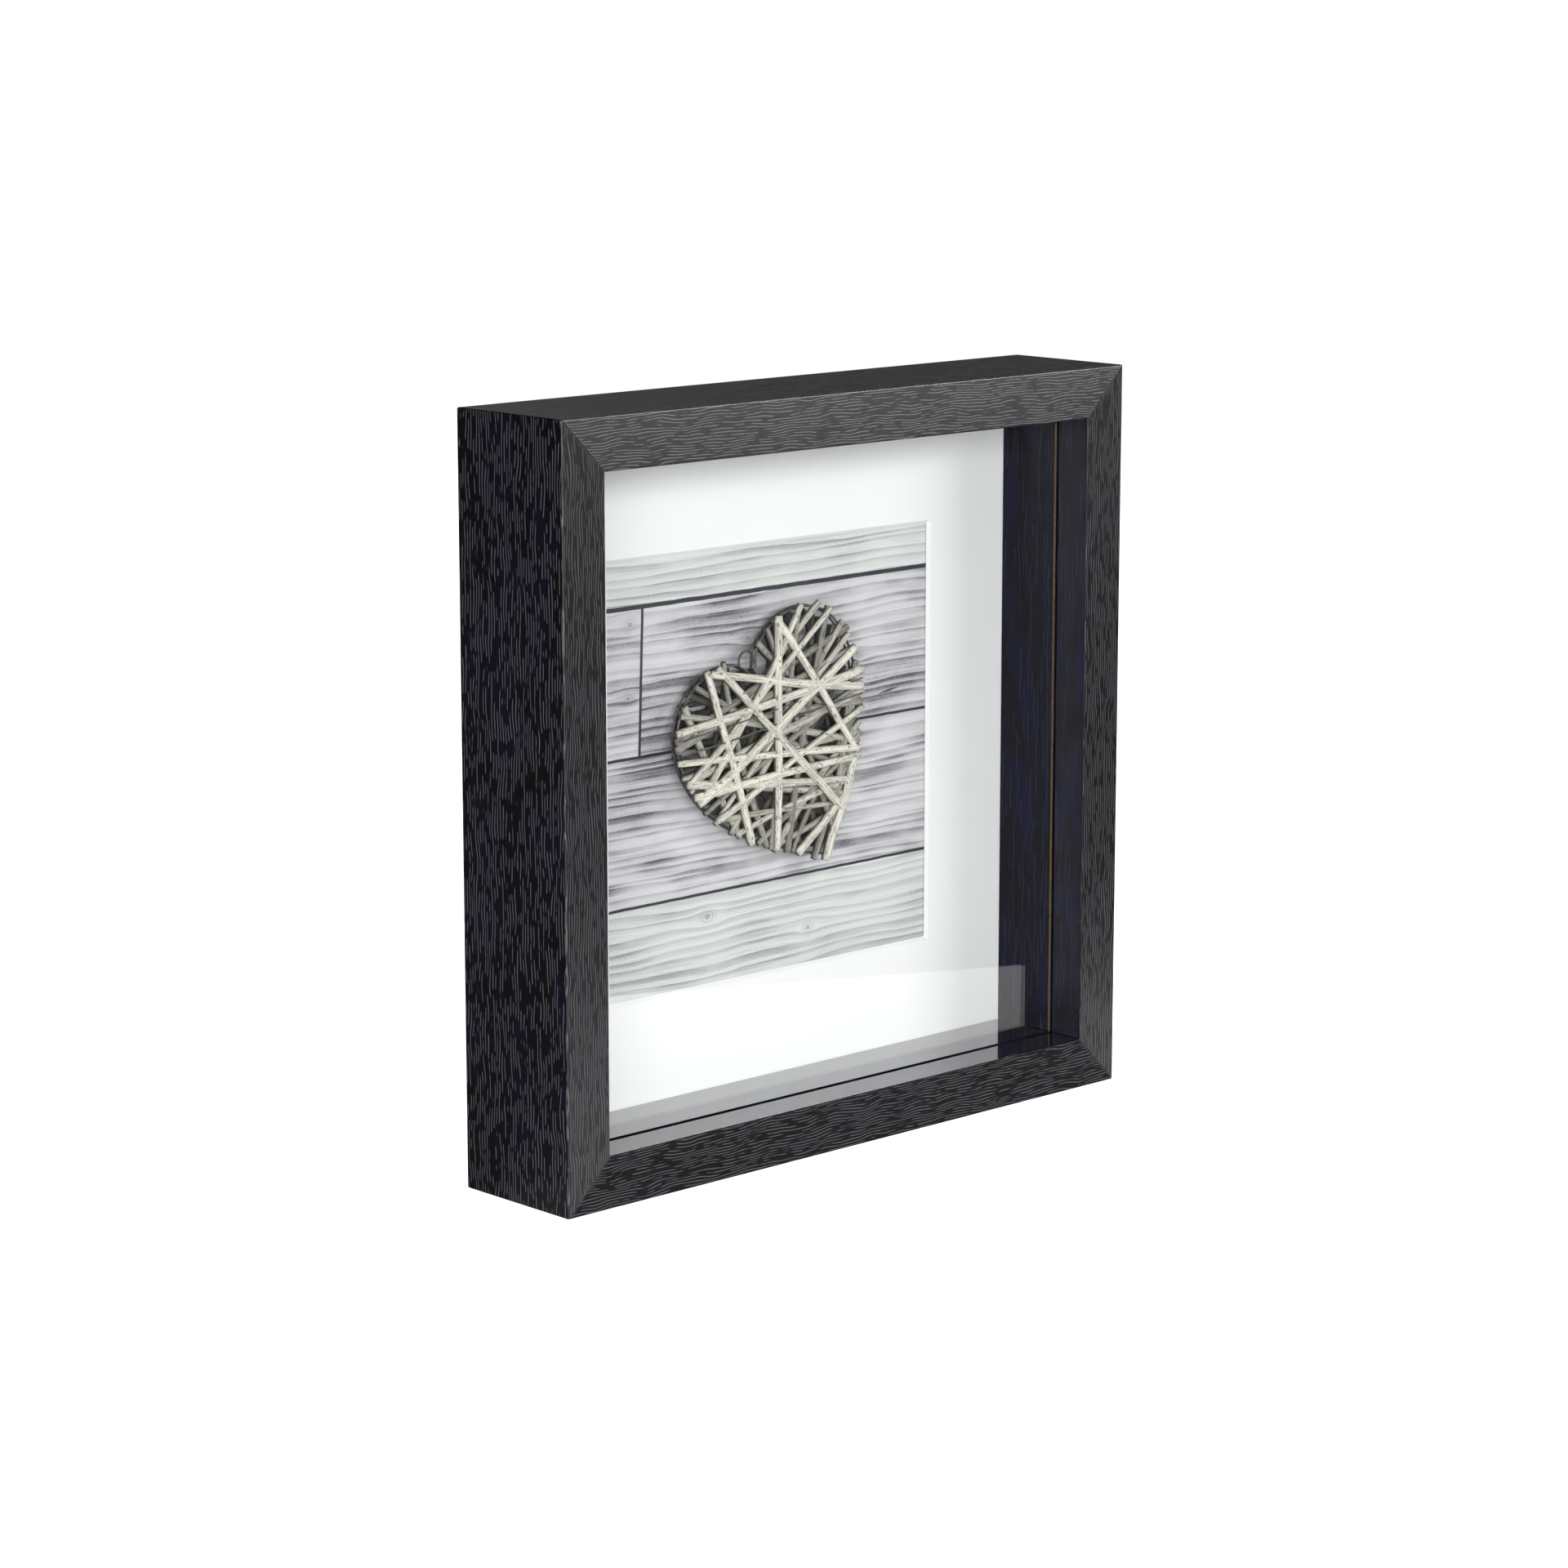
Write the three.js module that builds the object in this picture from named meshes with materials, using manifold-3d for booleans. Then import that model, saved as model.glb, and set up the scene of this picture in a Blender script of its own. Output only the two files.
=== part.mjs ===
// A square box frame with a deep display space behind its glass, holding a matted print
// and a small wicker heart. Millimetres, +Z up, -Y is the glazed front.
// The origin is the middle of the wooden box's underside, where it stands on a shelf.
import * as THREE from 'three';
import { mergeVertices } from 'three/addons/utils/BufferGeometryUtils.js';
import Module from 'manifold-3d';

const wasm = await Module();
wasm.setup();

// Driving dimensions of the wooden box
const frameSide = 250;
const frameDepth = 50;
const faceWidth = 17.3;
const wallThickness = 11;
const lipDepth = 13;
const arrisRadius = 0.6;
const gap = 0.3;

// The stack behind the lip, each layer a gap behind the one before it
const glassThickness = 2;
const spacerLength = 24.2;
const spacerProud = 0.3;
const matThickness = 1.1;
const printThickness = 0.4;
const fillerThickness = 3.5;
const backThickness = 3.2;
const windowSide = 144;
const windowAcross = -0.7;
const printSide = 200;

// The wicker heart, in its own upright coordinates before it is tilted
const heartThickness = 9;
const heartTilt = THREE.MathUtils.degToRad(26.5);
const heartCentre = { across: 0.8, up: 0.5 };
const heartInset = 1.2;
const hoopWireRadius = 0.4;
const hoopSpread = 2.2;
const hoopSteps = 84;
const loopRadius = 3.2;
const loopWireRadius = 0.4;

// Steel fittings on the back
const buttonThickness = 1;
const buttonPivotRadius = 4;
const buttonTipRadius = 3;
const buttonReach = 17;
const buttonSpacing = 120;
const screwRadius = 1.1;
const screwLength = 9;
const screwHeadRadius = 2.6;
const screwHeadHeight = 1.3;
const recessDepth = 0.7;
const recessWidth = 0.6;
const recessLength = 3;
const hangerLength = 46;
const hangerHeight = 8;
const hangerThickness = 1;
const hangerRaise = 1.8;
const hangerTabLength = 8;
const hangerRampLength = 3;
const hangerToothPitch = 2;
const hangerToothHeight = 1.5;
const pinRadius = 0.8;
const pinLength = 10;
const pinHeadRadius = 1.9;
const pinHeadHeight = 0.8;
const nailInset = 4;
const nailLeg = 6;
const nailThickness = 0.6;
const nailDepth = 7;

// Places along the depth, from the front face backwards
const frontY = -frameDepth / 2;
const rearY = frameDepth / 2;
const half = frameSide / 2;
const insertSide = frameSide - 2 * wallThickness - 2 * gap;
const glassFront = frontY + lipDepth + gap;
const spacerFront = glassFront + glassThickness + gap;
const matFront = spacerFront + spacerLength + gap;
const printFront = matFront + matThickness + gap;
const fillerFront = printFront + printThickness + gap;
const backFront = fillerFront + fillerThickness + gap;
const heartRear = printFront - gap;
const heartMiddle = heartRear - heartThickness / 2;
const mitreGap = gap / Math.SQRT2;
const cut = 1;

const materials = {
  blackFoil: new THREE.MeshStandardMaterial({ color: 0x2b2c31, roughness: 0.42 }),
  innerFoil: new THREE.MeshStandardMaterial({ color: 0x20212e, roughness: 0.35 }),
  glass: new THREE.MeshStandardMaterial({ color: 0xf2f6f5, roughness: 0.02, transparent: true, opacity: 0.15 }),
  matBoard: new THREE.MeshStandardMaterial({ color: 0xf4f4f3, roughness: 0.9 }),
  print: new THREE.MeshStandardMaterial({ color: 0xc9cacd, roughness: 0.6 }),
  cardboard: new THREE.MeshStandardMaterial({ color: 0xb08d62, roughness: 0.95 }),
  fibreboard: new THREE.MeshStandardMaterial({ color: 0x8a6a48, roughness: 0.85 }),
  willow: new THREE.MeshStandardMaterial({ color: 0xc0bcae, roughness: 0.8 }),
  darkWire: new THREE.MeshStandardMaterial({ color: 0x35332f, roughness: 0.5, metalness: 0.9 }),
  zincSteel: new THREE.MeshStandardMaterial({ color: 0xb9bcc0, roughness: 0.35, metalness: 1 }),
};

// ---- Joining and cutting closed meshes ----

function toSolid(geometry) {
  const plain = geometry.clone();
  plain.deleteAttribute('normal');
  plain.deleteAttribute('uv');
  const merged = mergeVertices(plain, 1e-4);
  return new wasm.Manifold(new wasm.Mesh({
    numProp: 3,
    vertProperties: new Float32Array(merged.attributes.position.array),
    triVerts: new Uint32Array(merged.index.array),
  }));
}

function toGeometry(solid) {
  const mesh = solid.getMesh();
  const geometry = new THREE.BufferGeometry();
  geometry.setAttribute('position', new THREE.BufferAttribute(new Float32Array(mesh.vertProperties), 3));
  geometry.setIndex(new THREE.BufferAttribute(new Uint32Array(mesh.triVerts), 1));
  geometry.computeVertexNormals();
  return geometry;
}

function cutAway(geometry, cutters) {
  const cutterSolids = cutters.map(toSolid);
  const result = cutterSolids.reduce((solid, cutter) => solid.subtract(cutter), toSolid(geometry));
  return toGeometry(result);
}

// ---- Small helpers ----

// A flat outline drawn as seen from the front, given a thickness backwards from depth `front`.
function slab(shape, front, thickness, curveSegments = 12) {
  const geometry = new THREE.ExtrudeGeometry(shape, { depth: thickness, bevelEnabled: false, curveSegments });
  geometry.rotateX(Math.PI / 2);
  geometry.translate(0, front + thickness, 0);
  return geometry;
}

function squareSheet(side, front, thickness) {
  const geometry = new THREE.BoxGeometry(side, thickness, side);
  geometry.translate(0, front + thickness / 2, 0);
  return geometry;
}

// A round bar or hole along the depth, from `front` to `rear`.
function roundBar(radius, across, up, front, rear, sides = 16) {
  const geometry = new THREE.CylinderGeometry(radius, radius, rear - front, sides);
  geometry.translate(across, (front + rear) / 2, up);
  return geometry;
}

const assembly = new THREE.Group();
const centred = new THREE.Group();
centred.position.z = half;
assembly.add(centred);

function addPiece(name, geometry, material, turn = 0) {
  const mesh = new THREE.Mesh(geometry, material);
  mesh.name = name;
  mesh.rotation.y = turn;
  centred.add(mesh);
  return mesh;
}

// The four sides by how far the top one is turned about the frame's middle.
const quarterTurn = Math.PI / 2;
const sides = { top: 0, right: quarterTurn, bottom: 2 * quarterTurn, left: -quarterTurn };

// ---- Corner nails: L-shaped strips pressed across each mitre from the back ----

function cornerNailShape(grow, hand) {
  const outer = half - nailInset + grow;
  const inner = half - nailInset - nailThickness - grow;
  const end = half - nailInset - nailLeg - grow;
  const corners = [[outer, outer], [end, outer], [end, inner], [inner, inner], [inner, end], [outer, end]];
  return new THREE.Shape(corners.map(([across, up]) => new THREE.Vector2(hand * across, up)));
}

function cornerNail() {
  return slab(cornerNailShape(0, 1), rearY - gap - nailDepth, nailDepth);
}

function cornerPocket(hand) {
  return slab(cornerNailShape(gap, hand), rearY - nailDepth - 2 * gap, nailDepth + 2 * gap + cut);
}

// ---- Rails: an L section with eased arrises, mitred at both ends ----

function railSection() {
  const section = new THREE.Shape();
  const lipRear = frontY + lipDepth;
  section.moveTo(frontY + arrisRadius, 0);
  section.absarc(frontY + arrisRadius, -arrisRadius, arrisRadius, Math.PI / 2, Math.PI, false);
  section.absarc(frontY + arrisRadius, arrisRadius - faceWidth, arrisRadius, Math.PI, 1.5 * Math.PI, false);
  section.lineTo(lipRear, -faceWidth);
  section.lineTo(lipRear, -wallThickness);
  section.lineTo(rearY, -wallThickness);
  section.absarc(rearY - arrisRadius, -arrisRadius, arrisRadius, 0, Math.PI / 2, false);
  section.closePath();
  return section;
}

// Carries a section (depth, height below the outer edge) along X as the top side, then slopes
// both ends: a point's half length is its own height above the frame's middle, less the gap.
function mitredBar(section, outerHeight) {
  const geometry = new THREE.ExtrudeGeometry(section, { depth: 1, bevelEnabled: false, curveSegments: 5 });
  const position = geometry.attributes.position;
  for (let i = 0; i < position.count; i += 1) {
    const up = outerHeight + position.getY(i);
    const along = (position.getZ(i) > 0.5 ? 1 : -1) * (up - mitreGap);
    position.setXYZ(i, along, position.getX(i), up);
  }
  geometry.computeVertexNormals();
  return geometry;
}

const buttonUp = half - wallThickness / 2;
const hangerUp = half - wallThickness / 2;
const hangerPinAcross = (hangerLength - hangerTabLength) / 2;
const pilotDepth = 0.5;

function rearHole(radius, across, up, length) {
  return roundBar(radius + gap, across, up, rearY - length - pilotDepth, rearY + cut);
}

function rail(extraHoles) {
  return cutAway(mitredBar(railSection(), half), [cornerPocket(1), cornerPocket(-1), ...extraHoles]);
}

const screwHoles = [-1, 1].map((hand) => rearHole(screwRadius, hand * buttonSpacing / 2, buttonUp, screwLength));
const pinHoles = [-1, 1].map((hand) => rearHole(pinRadius, hand * hangerPinAcross, hangerUp, pinLength));

addPiece('frame_top_rail', rail(pinHoles), materials.blackFoil, sides.top);
addPiece('frame_right_stile', rail(screwHoles), materials.blackFoil, sides.right);
addPiece('frame_bottom_rail', rail([]), materials.blackFoil, sides.bottom);
addPiece('frame_left_stile', rail(screwHoles), materials.blackFoil, sides.left);

const corners = { upper_right: 'top', lower_right: 'right', lower_left: 'bottom', upper_left: 'left' };
for (const [corner, side] of Object.entries(corners)) {
  addPiece(`corner_nail_${corner}`, cornerNail(), materials.zincSteel, sides[side]);
}

// ---- Glass, and the spacer strips that hold the mat back from it ----

addPiece('glass_pane', squareSheet(insertSide, glassFront, glassThickness), materials.glass);

function spacerStrip() {
  const outerHeight = insertSide / 2;
  const thickness = outerHeight - (half - faceWidth - spacerProud);
  const section = new THREE.Shape();
  section.moveTo(spacerFront, 0);
  section.lineTo(spacerFront, -thickness);
  section.lineTo(spacerFront + spacerLength, -thickness);
  section.lineTo(spacerFront + spacerLength, 0);
  section.closePath();
  return mitredBar(section, outerHeight);
}

for (const [side, turn] of Object.entries(sides)) {
  addPiece(`spacer_${side}`, spacerStrip(), materials.innerFoil, turn);
}

// ---- The insert: bevelled mat, print, filler card and fibreboard back ----

// The window is a square pyramid's slice, wider at the front by the mat's own thickness.
function matBoard() {
  const frontRadius = (windowSide + 2 * matThickness + 2 * cut) / Math.SQRT2;
  const rearRadius = (windowSide - 2 * cut) / Math.SQRT2;
  const window = new THREE.CylinderGeometry(rearRadius, frontRadius, matThickness + 2 * cut, 4);
  window.rotateY(Math.PI / 4);
  window.translate(windowAcross, matFront + matThickness / 2, 0);
  return cutAway(squareSheet(insertSide, matFront, matThickness), [window]);
}

addPiece('mat_board', matBoard(), materials.matBoard);
addPiece('print_sheet', squareSheet(printSide, printFront, printThickness), materials.print);
addPiece('filler_card', squareSheet(insertSide, fillerFront, fillerThickness), materials.cardboard);
addPiece('back_panel', squareSheet(insertSide, backFront, backThickness), materials.fibreboard);

// ---- The wicker heart: a woven body on two wire hoops, with a wire hanging loop ----

// Half of the hoop from notch to tip; the other half is its mirror image.
const heartHalf = [
  [1.5, 34.5], [5, 40], [12, 43.2], [21, 44], [31, 40.5], [38.5, 32],
  [41, 20], [38.5, 6], [29, -11], [14.5, -26.5], [3.2, -36.6], [0, -38.5],
];

function heartCurve(inset, depth) {
  const mirrored = heartHalf.slice(0, -1).reverse().map(([across, up]) => [-across, up]);
  const tipDown = -heartHalf.at(-1)[1];
  const keep = 1 - inset / tipDown;
  const points = [...heartHalf, ...mirrored].map(([across, up]) => {
    const point = new THREE.Vector3(across * keep, 0, up * keep);
    point.applyAxisAngle(new THREE.Vector3(0, 1, 0), -heartTilt);
    return point.add(new THREE.Vector3(heartCentre.across, depth, heartCentre.up));
  });
  return new THREE.CatmullRomCurve3(points, false, 'centripetal');
}

function wire(curve, radius, steps, wireSides = 8) {
  const section = new THREE.Shape();
  section.absarc(0, 0, radius, 0, 2 * Math.PI, false);
  return new THREE.ExtrudeGeometry(section, {
    steps,
    curveSegments: wireSides,
    extrudePath: curve,
  });
}

function heartBody() {
  const wovenInset = heartInset + hoopWireRadius;
  const outline = heartCurve(wovenInset, 0).getSpacedPoints(hoopSteps);
  const shape = new THREE.Shape(outline.map((point) => new THREE.Vector2(point.x, point.z)));
  return slab(shape, heartRear - heartThickness, heartThickness);
}

class LoopCurve extends THREE.Curve {
  // A ring with a narrow opening at its foot, standing in the notch in the heart's plane.
  getPoint(t, target = new THREE.Vector3()) {
    const opening = 0.35;
    const angle = -heartTilt - quarterTurn + opening + t * (2 * Math.PI - 2 * opening);
    const rise = heartHalf[0][1] + loopRadius + 2 * hoopWireRadius;
    const across = heartCentre.across - Math.sin(heartTilt) * rise + loopRadius * Math.cos(angle + 2 * heartTilt);
    const up = heartCentre.up + Math.cos(heartTilt) * rise + loopRadius * Math.sin(angle + 2 * heartTilt);
    return target.set(across, heartMiddle, up);
  }
}

addPiece('heart_weave', heartBody(), materials.willow);
addPiece('heart_front_hoop', wire(heartCurve(0, heartMiddle - hoopSpread / 2), hoopWireRadius, hoopSteps),
  materials.darkWire);
addPiece('heart_back_hoop', wire(heartCurve(0, heartMiddle + hoopSpread / 2), hoopWireRadius, hoopSteps),
  materials.darkWire);
addPiece('heart_hanging_loop', wire(new LoopCurve(), loopWireRadius, 28), materials.darkWire);

// ---- Turn buttons, each on its own screw ----

// A blade with a round pivot end and a smaller round tip, hanging straight down from its screw.
function turnButton() {
  const lean = Math.asin((buttonPivotRadius - buttonTipRadius) / buttonReach);
  const shape = new THREE.Shape();
  shape.absarc(0, 0, buttonPivotRadius, -lean, Math.PI + lean, false);
  shape.absarc(0, -buttonReach, buttonTipRadius, Math.PI + lean, 2 * Math.PI - lean, false);
  shape.closePath();
  const hole = new THREE.Path();
  hole.absarc(0, 0, screwRadius + gap, 0, 2 * Math.PI, true);
  shape.holes.push(hole);
  return slab(shape, rearY + gap, buttonThickness, 20);
}

// Turned about the depth axis: a pointed shank, and a low domed head with a cross recess.
function buttonScrew() {
  const headFoot = rearY + 2 * gap + buttonThickness;
  const tip = rearY - screwLength;
  const pointLength = 2;
  const domePoints = 5;
  const profile = [new THREE.Vector2(0, tip), new THREE.Vector2(screwRadius, tip + pointLength)];
  profile.push(new THREE.Vector2(screwRadius, headFoot), new THREE.Vector2(screwHeadRadius, headFoot));
  for (let i = 0; i <= domePoints; i += 1) {
    const angle = (i / domePoints) * quarterTurn;
    const radius = screwHeadRadius * Math.cos(angle);
    const rim = 0.35 * screwHeadHeight;
    const height = headFoot + rim + (screwHeadHeight - rim) * Math.sin(angle);
    profile.push(new THREE.Vector2(i === domePoints ? 0 : radius, height));
  }
  const recesses = [[recessLength, recessWidth], [recessWidth, recessLength]].map(([across, up]) => {
    const box = new THREE.BoxGeometry(across, recessDepth + cut, up);
    return box.translate(0, headFoot + screwHeadHeight - (recessDepth - cut) / 2, 0);
  });
  return cutAway(new THREE.LatheGeometry(profile, 24), recesses);
}

for (const [sideName, hand] of [['left', -1], ['right', 1]]) {
  for (const [heightName, level] of [['upper', 1], ['lower', -1]]) {
    const across = hand * buttonUp;
    const up = level * buttonSpacing / 2;
    addPiece(`turn_button_${heightName}_${sideName}`, turnButton(), materials.zincSteel).position.set(across, 0, up);
    addPiece(`button_screw_${heightName}_${sideName}`, buttonScrew(), materials.zincSteel).position.set(across, 0, up);
  }
}

// ---- Sawtooth hanger: a strip raised in the middle, pinned to the top rail at both tabs ----

function sawtoothHanger() {
  const end = hangerLength / 2;
  const tabEnd = end - hangerTabLength;
  const raisedEnd = tabEnd - hangerRampLength;
  const low = rearY + gap;
  const high = low + hangerRaise;
  const under = [[-end, low], [-tabEnd, low], [-raisedEnd, high], [raisedEnd, high], [tabEnd, low], [end, low]];
  const over = under.map(([along, depth]) => [along, depth + hangerThickness]).reverse();
  const outline = new THREE.Shape([...under, ...over].map(([along, depth]) => new THREE.Vector2(along, depth)));
  const strip = new THREE.ExtrudeGeometry(outline, { depth: hangerHeight, bevelEnabled: false });
  strip.translate(0, 0, hangerUp - hangerHeight / 2);
  const teeth = [];
  const foot = hangerUp - hangerHeight / 2;
  const spare = 0.2;
  const toothCount = Math.floor((2 * raisedEnd - hangerToothPitch) / hangerToothPitch);
  for (let i = 0; i < toothCount; i += 1) {
    const middle = (i - (toothCount - 1) / 2) * hangerToothPitch;
    const notch = new THREE.Shape([
      new THREE.Vector2(middle - hangerToothPitch / 2 + spare, foot - spare),
      new THREE.Vector2(middle + hangerToothPitch / 2 - spare, foot - spare),
      new THREE.Vector2(middle, foot + hangerToothHeight),
    ]);
    teeth.push(slab(notch, high - cut, hangerThickness + 2 * cut));
  }
  const holes = [-1, 1].map((hand) => (
    roundBar(pinRadius + gap, hand * hangerPinAcross, hangerUp, low - cut, low + hangerThickness + cut)
  ));
  return cutAway(strip, [...teeth, ...holes]);
}

function hangerPin() {
  const headFoot = rearY + 2 * gap + hangerThickness;
  const tip = rearY - pinLength;
  const pointLength = 1.6;
  const profile = [
    [0, tip], [pinRadius, tip + pointLength], [pinRadius, headFoot], [pinHeadRadius, headFoot],
    [pinHeadRadius, headFoot + pinHeadHeight / 2], [pinHeadRadius / 2, headFoot + pinHeadHeight],
    [0, headFoot + pinHeadHeight],
  ].map(([radius, depth]) => new THREE.Vector2(radius, depth));
  return new THREE.LatheGeometry(profile, 20);
}

addPiece('wall_hanger', sawtoothHanger(), materials.zincSteel);
for (const [sideName, hand] of [['left', -1], ['right', 1]]) {
  const pin = addPiece(`hanger_pin_${sideName}`, hangerPin(), materials.zincSteel);
  pin.position.set(hand * hangerPinAcross, 0, hangerUp);
}

export default assembly;
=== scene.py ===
import math

import bpy
import numpy as np
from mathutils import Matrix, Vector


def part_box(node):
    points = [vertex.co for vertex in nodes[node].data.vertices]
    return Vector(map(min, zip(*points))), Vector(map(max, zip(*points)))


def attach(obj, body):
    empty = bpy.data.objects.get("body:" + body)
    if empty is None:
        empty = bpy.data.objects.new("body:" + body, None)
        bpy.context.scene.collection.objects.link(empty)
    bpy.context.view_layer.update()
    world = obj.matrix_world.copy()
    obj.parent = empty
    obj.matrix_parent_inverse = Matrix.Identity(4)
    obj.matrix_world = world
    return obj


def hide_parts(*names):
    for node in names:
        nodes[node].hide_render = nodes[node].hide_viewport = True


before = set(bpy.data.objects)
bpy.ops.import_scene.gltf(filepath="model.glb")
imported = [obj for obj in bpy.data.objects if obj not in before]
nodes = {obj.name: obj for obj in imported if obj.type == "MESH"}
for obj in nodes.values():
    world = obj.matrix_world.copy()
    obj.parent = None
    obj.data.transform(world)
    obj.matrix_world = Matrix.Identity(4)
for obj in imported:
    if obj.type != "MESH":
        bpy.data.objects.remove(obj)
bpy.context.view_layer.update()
mm = 0.001

# Places that everything else is worked out from
topLow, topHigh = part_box("frame_top_rail")
leftLow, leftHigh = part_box("frame_left_stile")
matLow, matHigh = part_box("mat_board")
spacerLow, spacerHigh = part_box("spacer_left")
heartLow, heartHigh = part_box("heart_weave")
halfSide = topHigh.z / 2
caseFront = topLow.y
caseRear = topHigh.y
print("frame in:", len(nodes), "pieces, side", round(2 * halfSide, 4), "m")


# ---- Camera, floor and light ----

cameraView = dict(azimuth=-43.3, elevation=11.0, distance=1.441, lens=100.8, sensor=36.0,
                  aim=(-0.0094, 0.0, 0.1195))
sky = dict(seen=1.0, above=0.22, below=0.03, rise=(0.05, 0.6))
floorBoard = dict(turn=25.4, edge=(0.1455, -0.177), length=4.0, depth=3.0, roughness=0.9,
                  colour=0.86, shade=0.38, seen=1.0, glow=0.58, glowEnd=(0.03, -0.01))
lamps = {
    "frontBox": dict(place=(-0.70, -1.8, 0.48), aim=(0.0, 0.0, 0.13), size=(1.5, 1.0), watts=24.5),
    "frontRightBox": dict(place=(0.65, -0.71, 0.45), aim=(0.0, 0.0, 0.19), size=(0.44, 0.18), watts=4.4),
    "leftFill": dict(place=(-1.45, -1.3, 0.38), aim=(0.0, 0.0, 0.12), size=(0.8, 0.8), watts=15.5),
    "backBox": dict(place=(0.25, 1.8, 0.9), aim=(0.0, 0.0, 0.12), size=(1.2, 0.9), watts=17.0),
}


# The camera stands on a ray from its aim point, at an azimuth and elevation round it
def makeCamera(view):
    azimuth, elevation = math.radians(view["azimuth"]), math.radians(view["elevation"])
    back = np.array([math.sin(azimuth) * math.cos(elevation),
                     -math.cos(azimuth) * math.cos(elevation),
                     math.sin(elevation)])
    data = bpy.data.cameras.new("camera")
    data.lens = view["lens"]
    data.sensor_width = view["sensor"]
    data.clip_start = 0.05
    camera = bpy.data.objects.new("camera", data)
    camera.location = np.array(view["aim"]) + back * view["distance"]
    camera.rotation_euler = (math.pi / 2 - elevation, 0.0, azimuth)
    bpy.context.scene.collection.objects.link(camera)
    bpy.context.scene.camera = camera


# A soft box turned to face its aim point
def makeLamp(name, lamp):
    data = bpy.data.lights.new(name, "AREA")
    data.shape = "RECTANGLE"
    data.size, data.size_y = lamp["size"]
    data.energy = lamp["watts"]
    light = bpy.data.objects.new(name, data)
    place = np.array(lamp["place"])
    toward = np.array(lamp["aim"]) - place
    flat = math.hypot(toward[0], toward[1])
    light.location = place
    turn = math.atan2(toward[1], toward[0]) - math.pi / 2
    light.rotation_euler = (math.atan2(flat, -toward[2]), 0.0, turn)
    bpy.context.scene.collection.objects.link(light)


# White where the camera looks straight at it, and dim to everything else, darker below the horizon
def makeSky(look):
    world = bpy.data.worlds.new("studio")
    world.use_nodes = True
    tree = world.node_tree
    tree.nodes.clear()
    direction = tree.nodes.new("ShaderNodeTexCoord")
    split = tree.nodes.new("ShaderNodeSeparateXYZ")
    rise = tree.nodes.new("ShaderNodeMapRange")
    rise.inputs["From Min"].default_value = look["rise"][0]
    rise.inputs["From Max"].default_value = look["rise"][1]
    rise.inputs["To Min"].default_value = look["below"]
    rise.inputs["To Max"].default_value = look["above"]
    path = tree.nodes.new("ShaderNodeLightPath")
    pick = tree.nodes.new("ShaderNodeMix")
    pick.inputs["B"].default_value = look["seen"]
    background = tree.nodes.new("ShaderNodeBackground")
    background.inputs["Color"].default_value = (1.0, 1.0, 1.0, 1.0)
    output = tree.nodes.new("ShaderNodeOutputWorld")
    tree.links.new(direction.outputs["Generated"], split.inputs[0])
    tree.links.new(split.outputs["Z"], rise.inputs["Value"])
    tree.links.new(rise.outputs[0], pick.inputs["A"])
    tree.links.new(path.outputs["Is Camera Ray"], pick.inputs["Factor"])
    tree.links.new(pick.outputs[0], background.inputs["Strength"])
    tree.links.new(background.outputs[0], output.inputs["Surface"])
    bpy.context.scene.world = world


# ---- Shader maths ----

# A shader value in an expression. + - * / and comparisons add Math nodes.
class Socket:
    def __init__(self, shader, link):
        self.shader = shader
        self.link = link

    def math(self, operation, *others):
        values = dict(enumerate((self,) + others))
        return self.shader.add("ShaderNodeMath", {"operation": operation}, values)

    def flipped(self, operation, other):
        return self.shader.add("ShaderNodeMath", {"operation": operation}, {0: other, 1: self})

    def __add__(self, other):
        return self.math("ADD", other)

    def __radd__(self, other):
        return self.flipped("ADD", other)

    def __sub__(self, other):
        return self.math("SUBTRACT", other)

    def __rsub__(self, other):
        return self.flipped("SUBTRACT", other)

    def __mul__(self, other):
        return self.math("MULTIPLY", other)

    def __rmul__(self, other):
        return self.flipped("MULTIPLY", other)

    def __truediv__(self, other):
        return self.math("DIVIDE", other)

    def __pow__(self, other):
        return self.math("POWER", other)

    def __gt__(self, other):
        return self.math("GREATER_THAN", other)

    def __lt__(self, other):
        return self.math("LESS_THAN", other)

    def __abs__(self):
        return self.math("ABSOLUTE")

    def lower(self, other):
        return self.math("MINIMUM", other)

    def higher(self, other):
        return self.math("MAXIMUM", other)

    def fraction(self):
        return self.math("FRACT")

    # 0 at low, 1 at high, smooth between and level beyond; low may be the larger one
    def ramp(self, low, high):
        settings = {"interpolation_type": "SMOOTHSTEP"}
        values = {"Value": self, "From Min": low, "From Max": high}
        return self.shader.add("ShaderNodeMapRange", settings, values)


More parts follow.
